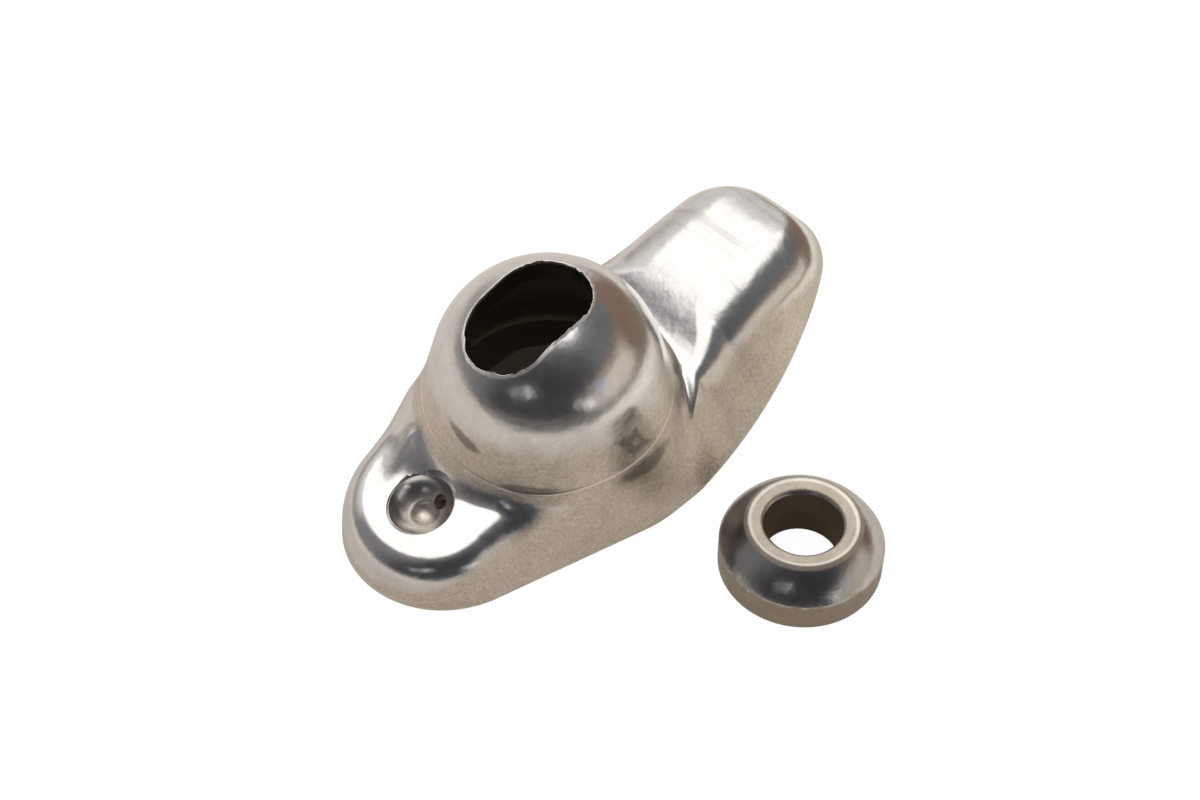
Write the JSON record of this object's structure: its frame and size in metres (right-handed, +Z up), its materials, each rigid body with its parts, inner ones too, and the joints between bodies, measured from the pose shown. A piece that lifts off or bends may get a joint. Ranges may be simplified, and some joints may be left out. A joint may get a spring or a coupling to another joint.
{
  "type": "rocker arm",
  "caption": "Stamped steel rocker arm lying upside down: a domed channel with a stud slot, a pushrod cup and a curved valve pad, with its loose ball pivot lying beside it.",
  "frame": {"origin": "centre of the ball seat, the point about which the arm rocks", "axes": "+X along the arm from the pushrod cup to the valve pad, +Z up as it lies with its dome upwards, square to the level part of its rim"},
  "size_m": [0.0824, 0.0675, 0.0304],
  "materials": {
    "arm_steel": "worn, oily, satin pressed steel with polished rub marks",
    "ball_steel": "polished bearing band over a matte, speckled base"
  },
  "bodies": {
    "root": {"rocker_arm": "arm_steel", "pivot_ball": "ball_steel"}
  },
  "joints": []
}
